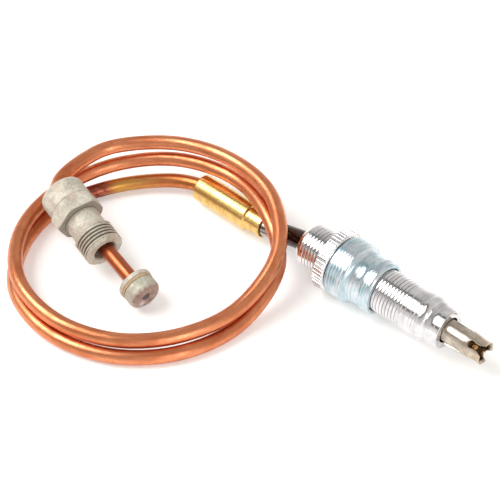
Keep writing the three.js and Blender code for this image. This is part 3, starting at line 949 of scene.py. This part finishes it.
class OBJECT_OT_connector(PieceOperator, bpy.types.Operator):
    """Cuts the connector nut with its thread, barrel, hexagon and round back"""

    bl_idname = "thermocouple.connector"
    bl_label = "Connector nut"

    def execute(self, context):
        sizes, finishes = self.settings(context)
        half = NUT_LENGTH / 2
        hex_rear, hex_front = -half + 4.9, -half + 8.5
        thread_rear, crest = half - 5.15, 4.365
        flat = 4.9
        corner = flat / math.cos(math.pi / 6)
        chamfer = [
            (hex_rear + 0.8 * k / 8, 4.92 + (corner - 4.92) * k / 8, 0.0) for k in range(9)
        ]
        lead_in = [
            (hex_front - 0.5 + 0.5 * k / 6, corner - 0.4 * (k / 6), 0.0) for k in range(7)
        ]
        outline = [
            (-half, 2.4, 0.15), (-half, 4.3, 0.3), (-half + 0.6, 4.9, 0.45),
            (hex_rear - 0.22, 4.9, 0.1), (hex_rear - 0.06, 4.78, 0.05), *chamfer, *lead_in,
            (hex_front, 3.95, 0.12), (hex_front + 0.3, 3.8, 0.2), (thread_rear - 0.1, 3.8, 0.15),
            (thread_rear + 0.3, crest - 0.1, 0.05),
            Thread(
                thread_rear + 0.35, half - 0.4, crest, sizes.connector_depth / MM,
                sizes.thread_pitch / MM, DEEP_FORM,
            ),
            (half, 3.9, 0.15), (half, 2.75, 0.15), (half - 0.35, 2.4, 0.15),
        ]

        def flats(x, r, angle):
            inside = (x > hex_rear - 0.01) & (x < hex_front + 0.01)
            gap = np.mod(angle, math.pi / 3) - math.pi / 6
            return np.where(inside, np.minimum(r, flat / np.cos(gap)), r)

        # crease puts painted shade in the corner in front of the hexagon.
        finish = tin_finish(finishes, crease=hex_front + 0.12)
        self.turn(
            context, "connector_tinned", outline, NUT, finish, "tinned_metal", "connector_nut",
            "connector", flats,
        )
        return {"FINISHED"}


class OBJECT_OT_sleeve(PieceOperator, bpy.types.Operator):
    """Turns the aluminium sleeve, with its long fine thread, bead and nose"""

    bl_idname = "thermocouple.sleeve"
    bl_label = "Threaded sleeve"

    def execute(self, context):
        sizes, finishes = self.settings(context)
        crest = SLEEVE_OD / 2
        thread = Thread(
            -19.3, 7.4, crest, sizes.sleeve_depth / MM, sizes.thread_pitch / MM, FLAT_FORM,
        )
        outline = [
            (-20.6, 2.5, 0.1), (-20.6, crest - 0.75, 0.3), (-19.6, crest - 0.05, 0.3), thread,
            (8.1, crest, 0.0), (8.2, crest - 0.06), (8.3, crest, 0.0), (9.6, crest, 0.0),
            (9.7, crest - 0.07), (9.8, crest, 0.0), (10.3, crest, 0.08), (10.5, crest - 0.3, 0.1),
            (10.95, crest - 0.3, 0.1), (11.25, 5.02, 0.12), (11.9, 5.12, 0.3), (12.6, 4.98, 0.3),
            (12.95, 4.76, 0.08), (13.08, 4.6, 0.05), (13.25, 4.63, 0.1), (14.4, 4.3, 0.25),
            (15.25, 4.3, 0.0), (15.35, 4.22), (15.45, 4.3, 0.0), (16.6, 4.3, 0.18),
            (16.6, 2.85, 0.1), (2.0, 2.85), (2.0, 2.5),
        ]
        finish = aluminium_finish(finishes)
        self.turn(
            context, "sleeve_threaded", outline, HOT, finish, "turned_aluminium",
            "threaded_sleeve",
        )
        return {"FINISHED"}


class OBJECT_OT_ring_nut(PieceOperator, bpy.types.Operator):
    """Cuts the thin ring nut with flutes round its rim"""

    bl_idname = "thermocouple.ring_nut"
    bl_label = "Ring nut"

    def execute(self, context):
        sizes, finishes = self.settings(context)
        rear, front, crest = -14.0, -11.0, KNURL_OD / 2
        root, count = 6.62, 48
        outline = [
            (rear, NUT_BORE / 2 + 0.35, 0.05), (rear, 6.25, 0.1), (rear + 0.15, 6.5, 0.0),
            (rear + 0.3, 6.72, 0.0), (rear + 0.42, crest, 0.0), (rear + 1.0, crest, 0.0),
            (front - 1.0, crest, 0.0), (front - 0.42, crest, 0.0), (front - 0.3, 6.72, 0.0),
            (front - 0.15, 6.5, 0.0), (front, 6.25, 0.1), (front, NUT_BORE / 2 + 0.35, 0.05),
            (front - 0.35, NUT_BORE / 2, 0.1), (rear + 0.35, NUT_BORE / 2, 0.1),
        ]

        def flutes(x, r, angle):
            phase = np.mod(angle * count / (2 * math.pi), 1.0)
            dip = np.clip((np.abs(phase - 0.5) - 0.29) / 0.14, 0, 1)
            dip = dip * dip * (3 - 2 * dip)
            rim = crest - (crest - root) * dip
            return np.where(r > 6.0, np.minimum(r, rim), r)

        mesh = turned(outline, count * 12, sizes.edge / MM, flutes)
        finish = aluminium_finish(finishes, "turned_aluminium_nut", 3.4)
        piece = settle(
            "ring_nut_fluted", mesh, HOT, finish, "ring_nut",
            ["knurled_nut"],
        )
        crisp(piece, 50)
        return {"FINISHED"}


class OBJECT_OT_adapter(PieceOperator, bpy.types.Operator):
    """Turns the stepped, plated adapter sleeve"""

    bl_idname = "thermocouple.adapter"
    bl_label = "Adapter sleeve"

    def execute(self, context):
        _, finishes = self.settings(context)
        rear, body, front = -10.8, 6.62, 5.85
        outline = [(rear, NUT_BORE / 2, 0.1), (rear, body, 0.25)]
        for x in (0.75, 1.45, 2.15, 2.85):
            outline += self.scored(rear + x, body, 0.13)
        outline += [
            (rear + 3.45, body - 0.02, 0.0), (rear + 3.6, body - 0.2, 0.1), (rear + 3.75, body, 0.1),
            (rear + 4.35, body, 0.3), (rear + 4.75, 6.1, 0.2), (rear + 5.3, 5.72, 0.4),
            (rear + 6.4, 5.55, 0.5), (rear + 7.5, 5.5, 0.4), (rear + 7.9, 5.3, 0.15),
            (rear + 8.1, 5.3, 0.1), (rear + 8.4, front, 0.2),
        ]
        for x in (9.0, 9.6):
            outline += self.scored(rear + x, front, 0.11)
        outline += [(-0.5, front, 0.3), (0, 5.5, 0.1), (0, NUT_BORE / 2, 0.1)]
        self.turn(
            context, "adapter_plated", outline, HOT, zinc_finish(finishes), "zinc_plate",
            "adapter_sleeve", "adapter",
        )
        return {"FINISHED"}

    def scored(self, x, r, depth):
        """A narrow round-bottomed ring groove at x."""
        return [
            (x - 0.14, r, 0.0), (x - 0.06, r - depth * 0.8, 0.0), (x, r - depth, 0.0),
            (x + 0.06, r - depth * 0.8, 0.0), (x + 0.14, r, 0.0),
        ]


def carved(name, mesh, tools):
    """The mesh after each (operation, tool mesh), applied in turn."""
    body = added(name, mesh)
    helpers = []
    for operation, tool in tools:
        helper = added("tool", tool)
        helpers.append(helper)
        cut = body.modifiers.new("cut", "BOOLEAN")
        cut.operation = operation
        cut.solver = "EXACT"
        cut.object = helper
    bpy.context.view_layer.update()
    finished = body.evaluated_get(bpy.context.evaluated_depsgraph_get())
    made = bpy.data.meshes.new_from_object(finished)
    for spare in [body, *helpers]:
        bpy.data.objects.remove(spare)
    return made


def prism(outline, low, high, turn=0.0):
    """A closed mesh from a flat outline in X and Y, raised from low to high in Z,
    then turned about X."""
    work = bmesh.new()
    base = [work.verts.new((x, y, low)) for x, y in outline]
    face = work.faces.new(base)
    raised = bmesh.ops.extrude_face_region(work, geom=[face])
    moved = [v for v in raised["geom"] if isinstance(v, bmesh.types.BMVert)]
    bmesh.ops.translate(work, verts=moved, vec=(0, 0, high - low))
    bmesh.ops.recalc_face_normals(work, faces=work.faces)
    work.transform(Matrix.Scale(MM, 4) @ Matrix.Rotation(turn, 4, "X"))
    mesh = bpy.data.meshes.new("tool")
    work.to_mesh(mesh)
    work.free()
    return mesh


def slot_mouth(side):
    """One side of the widening mouth at the clip's end."""
    points = [(CLIP_END - 1, SLOT_HALF), (CLIP_END, MOUTH_HALF), (CLIP_END + 1, MOUTH_HALF)]
    return [(x, side * y) for x, y in (points if side < 0 else reversed(points))]


def keyhole():
    """A round hole that opens into the mouth."""
    start = math.asin(SLOT_HALF / KEYHOLE_RADIUS)
    outline = []
    for k in range(25):
        turn = start + (2 * math.pi - 2 * start) * k / 24
        x = KEYHOLE_X + KEYHOLE_RADIUS * math.cos(turn)
        outline.append((x, KEYHOLE_RADIUS * math.sin(turn)))
    return outline + slot_mouth(-1) + slot_mouth(1)


def notch():
    """The mouth alone, with a pointed root."""
    return [(CLIP_END - NOTCH_DEPTH, 0.0)] + slot_mouth(-1) + slot_mouth(1)


class OBJECT_OT_clip(PieceOperator, bpy.types.Operator):
    """Forms the spring clip from a tube: a keyhole slot, a notch, lanced windows and tangs"""

    bl_idname = "thermocouple.clip"
    bl_label = "Spring clip"

    def execute(self, context):
        _, finishes = self.settings(context)
        outer, wall = CLIP_OD / 2, CLIP_WALL
        profile = [
            (4.0, outer), (CLIP_SHOULDER, outer, 1.0), (CLIP_SHOULDER + 1.2, outer - 0.05, 0.5),
            (CLIP_SHOULDER + 2.4, outer - 0.17, 0.6), (CLIP_END - 0.8, outer - 0.25, 0.2),
            (CLIP_END - 0.5, outer - 0.25, 0.2), (CLIP_END, outer - 0.1),
        ]
        inner = [(x, r - wall, *ease) for x, r, *ease in reversed(profile)]
        tube = turned(profile + inner, 96, 0.06)
        tools = [("DIFFERENCE", prism(keyhole(), 0, 4)), ("DIFFERENCE", prism(notch(), -4, 0))]
        (rear, front), half = WINDOW, 1.1
        window = [(rear, -half), (front, -half), (front, half), (rear, half)]
        for side, rise in enumerate(TANG_RISES):
            around = side * math.pi
            tools.append(("DIFFERENCE", prism(window, 1.5, 4.5, around - math.pi / 2)))
            tools.append(("UNION", self.tang(rise, around)))
        made = carved("clip", tube, tools)
        self.soften(made)
        made.transform(Matrix.Rotation(CLIP_TURN, 4, "X"))
        finish = nickel_finish(finishes)
        piece = settle("clip_sprung", made, HOT, finish, "core", ["tip_clip"])
        crisp(piece, 40)
        return {"FINISHED"}

    def tang(self, rise, around):
        """A bent strip whose free end stands out behind its root."""
        root_x, free_x, thick = CLIP_SHOULDER, CLIP_SHOULDER - TANG_LENGTH, 0.24
        inside = CLIP_OD / 2 - 0.3
        top, bottom = [], []
        for k in range(9):
            t = k / 8
            lift = rise * (t**1.15)
            top.append((root_x + (free_x - root_x) * t, inside + 0.26 + lift))
            under = inside + 0.26 - thick + lift
            bottom.append((root_x - 0.2 + (free_x - root_x + 0.2) * t, under))
        return prism(top + bottom[::-1], -0.85, 0.85, around)

    def soften(self, mesh):
        """Breaks the sheared edges a little."""
        joined(mesh, 1e-6)
        work = bmesh.new()
        work.from_mesh(mesh)
        sharp = [
            e for e in work.edges
            if len(e.link_faces) == 2 and e.calc_face_angle(0.0) > math.radians(42)
        ]
        bmesh.ops.bevel(
            work, geom=sharp, offset=0.045 * MM, offset_type="OFFSET", segments=2, profile=0.6,
            affect="EDGES", clamp_overlap=True,
        )
        smoothed(work, mesh)


class OBJECT_OT_junction(PieceOperator, bpy.types.Operator):
    """Builds the lumpy welded hot junction inside the clip"""

    bl_idname = "thermocouple.junction"
    bl_label = "Hot junction"

    def execute(self, context):
        work = bmesh.new()
        bmesh.ops.create_icosphere(work, subdivisions=5, radius=0.84)
        for vert in work.verts:
            lump = noise.noise(vert.co * 1.7 + Vector((3, 1, 5)))
            ripple = noise.noise(vert.co * 5.5)
            vert.co *= 1 - 0.10 * abs(lump) - 0.03 * abs(ripple)
            vert.co.x *= 0.98
        work.transform(Matrix.Scale(MM, 4) @ Matrix.Translation((KEYHOLE_X - 0.3, 0, 0)))
        mesh = bpy.data.meshes.new("junction")
        smoothed(work, mesh)
        finish = solder_finish("weld_gold_bead", "9a6a34", "e2b878")
        settle("junction_bead", mesh, HOT, finish, "core", ["hot_junction"])
        return {"FINISHED"}


class OBJECT_OT_inner(PieceOperator, bpy.types.Operator):
    """Gives the pieces inside the lead, joint and element their own finishes"""

    bl_idname = "thermocouple.inner"
    bl_label = "Inner pieces"

    def execute(self, context):
        _, finishes = self.settings(context)
        fibre = fibre_finish(finishes, "fibre_sleeving")
        ceramic = fibre_finish(finishes, "ceramic_woven", "e4ddce", "b9ad97")
        wire = turned_finish("bare_copper_wire", finishes.copper, finishes.copper_deep, 0.3)
        alloy = turned_finish("nickel_plate_wire", finishes.nickel, "7c7066", 0.25)
        crimp = turned_finish("yellow_brass_crimp", finishes.brass, finishes.brass_deep, 0.25)
        inner = {
            "lead_insulation": fibre, "splice_sleeving": fibre, "element_insulator": ceramic,
            "lead_wire": wire, "element_wire": alloy, "splice_crimp": crimp,
        }
        for node, material in inner.items():
            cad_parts[node].material_slots[0].material = material
        return {"FINISHED"}


# ---- studio ---------------------------------------------------------------------------

OVERHEAD = (-0.475, -0.372, 0.798)  # direction of the main softbox
OVERHEAD_REACH = 0.62
SIDE_STRIP = (0.45, -0.20, 0.22)
LOOKED_AT = (-8.8, 18.1, 0.0)  # millimetres
# The floor, in metres: half its side, the flat radius, and how it rises beyond that.
FLOOR_HALF = 1.6
FLOOR_FLAT = 0.9
FLOOR_RISE = 0.7
FLOOR_GLOW = 0.26
SENSOR = 36.0  # camera sensor width, in millimetres
# The room's brightness against the cosine to the softbox, from 0 (away) to 1 (towards it).
ROOM = [(0.0, 0.66), (0.60, 0.60), (0.79, 0.52), (0.815, 0.12), (0.90, 0.08), (0.925, 0.9)]


class OBJECT_OT_studio(PieceOperator, bpy.types.Operator):
    """Lays the floor and sets the softboxes, the surroundings and the camera"""

    bl_idname = "thermocouple.studio"
    bl_label = "Studio"

    def execute(self, context):
        studio = context.scene.thermocouple_studio
        self.floor(studio)
        target = Vector(LOOKED_AT) * MM
        overhead = Vector(OVERHEAD).normalized()
        self.softbox("key", target + overhead * OVERHEAD_REACH, target, (0.40, 0.40), studio.key)
        self.softbox("strip", SIDE_STRIP, target, (0.05, 0.40), studio.fill)
        self.surroundings(studio)
        self.camera(context, studio, target)
        context.scene.view_settings.view_transform = "Standard"
        return {"FINISHED"}

    def floor(self, studio):
        """A wide sheet, flat round the part, that curves up far away."""
        work = bmesh.new()
        bmesh.ops.create_grid(work, x_segments=48, y_segments=48, size=FLOOR_HALF)
        for vert in work.verts:
            reach = max(0.0, vert.co.xy.length - FLOOR_FLAT)
            vert.co.z = FLOOR_RISE * reach * reach
        mesh = bpy.data.meshes.new("floor")
        smoothed(work, mesh)
        paint = Paint("studio_floor", metallic=0.0, roughness=0.6)
        tone = paint.cloud(paint.node("TexCoord").outputs["Object"], 3.0, 2.0)
        base = studio.floor[:]
        darker = tuple(0.985 * c for c in base)
        paint.colour(paint.blend(paint.between(tone, 0.3, 0.7), base, darker))
        paint.shader.inputs["Specular IOR Level"].default_value = 0.1
        paint.shader.inputs["Emission Color"].default_value = (1, 1, 1, 1)
        paint.shader.inputs["Emission Strength"].default_value = FLOOR_GLOW
        mesh.materials.append(paint.material)
        floor = added("studio_floor", mesh)

    def softbox(self, name, place, target, size, power):
        light = bpy.data.lights.new(name, "AREA")
        light.shape = "RECTANGLE"
        light.size, light.size_y = size
        light.energy = power
        box = added("light_" + name, light)
        box.location = place
        box.rotation_mode = "QUATERNION"
        box.rotation_quaternion = (target - box.location).to_track_quat("-Z", "Y")

    def surroundings(self, studio):
        """A plain grey room with a dark gap round the softbox, so that metal shows edges."""
        world = bpy.data.worlds.new("studio_room")
        bpy.context.scene.world = world
        world.use_nodes = True
        nodes, links = world.node_tree.nodes, world.node_tree.links
        place = nodes.new("ShaderNodeTexCoord")
        facing = nodes.new("ShaderNodeVectorMath")
        facing.operation = "DOT_PRODUCT"
        facing.inputs[1].default_value = Vector(OVERHEAD).normalized()
        ramp = nodes.new("ShaderNodeValToRGB")
        links.new(place.outputs["Generated"], facing.inputs[0])
        links.new(facing.outputs["Value"], ramp.inputs[0])
        elements = ramp.color_ramp.elements
        while len(elements) < len(ROOM):
            elements.new(0.5)
        for element, (where, value) in zip(elements, ROOM):
            element.position = where
            element.color = (value, value * 0.975, value * 0.95, 1)
        background = nodes["Background"]
        links.new(ramp.outputs[0], background.inputs["Color"])
        background.inputs["Strength"].default_value = studio.sky

    def camera(self, context, studio, target):
        lens = bpy.data.cameras.new("camera")
        lens.lens = studio.focal
        lens.sensor_width = SENSOR
        lens.clip_start, lens.clip_end = 0.01, 10.0
        camera = added("camera", lens)
        flat = math.cos(studio.elevation)
        back = Vector(
            (
                math.sin(studio.azimuth) * flat, -math.cos(studio.azimuth) * flat,
                math.sin(studio.elevation),
            )
        )
        camera.location = target + back * studio.stand
        camera.rotation_mode = "QUATERNION"
        camera.rotation_quaternion = (-back).to_track_quat("-Z", "Y")
        context.scene.camera = camera


# ---- panel ----------------------------------------------------------------------------


class VIEW3D_PT_thermocouple(bpy.types.Panel):
    """Thermocouple pieces, sizes and finishes"""

    bl_idname = "VIEW3D_PT_thermocouple"
    bl_label = "Thermocouple"
    bl_space_type = "VIEW_3D"
    bl_region_type = "UI"
    bl_category = "Thermocouple"

    def draw(self, context):
        layout = self.layout
        for operator in OPERATORS:
            layout.operator(operator.bl_idname)
        for name in ("thermocouple_sizes", "thermocouple_finishes", "thermocouple_studio"):
            group = getattr(context.scene, name)
            box = layout.box()
            for key in group.bl_rna.properties.keys():
                if key not in ("name", "rna_type"):
                    box.prop(group, key)


OPERATORS = (
    OBJECT_OT_studio, OBJECT_OT_lead, OBJECT_OT_element, OBJECT_OT_joint, OBJECT_OT_contact,
    OBJECT_OT_connector, OBJECT_OT_sleeve, OBJECT_OT_ring_nut, OBJECT_OT_adapter,
    OBJECT_OT_clip, OBJECT_OT_junction, OBJECT_OT_inner,
)
GROUPS = {
    "thermocouple_sizes": ThermocoupleSizes,
    "thermocouple_finishes": ThermocoupleFinishes,
    "thermocouple_studio": ThermocoupleStudio,
}


def register():
    for group in GROUPS.values():
        bpy.utils.register_class(group)
    for name, group in GROUPS.items():
        setattr(bpy.types.Scene, name, PointerProperty(type=group))
    for part in (*OPERATORS, VIEW3D_PT_thermocouple):
        bpy.utils.register_class(part)


def unregister():
    for part in reversed((*OPERATORS, VIEW3D_PT_thermocouple)):
        bpy.utils.unregister_class(part)
    for name in GROUPS:
        delattr(bpy.types.Scene, name)
    for group in reversed(GROUPS.values()):
        bpy.utils.unregister_class(group)


def main():
    register()
    for name in (
        "studio", "lead", "element", "joint", "contact", "connector", "sleeve", "ring_nut",
        "adapter", "clip", "junction", "inner",
    ):
        getattr(bpy.ops.thermocouple, name)()


if __name__ == "__main__":
    main()
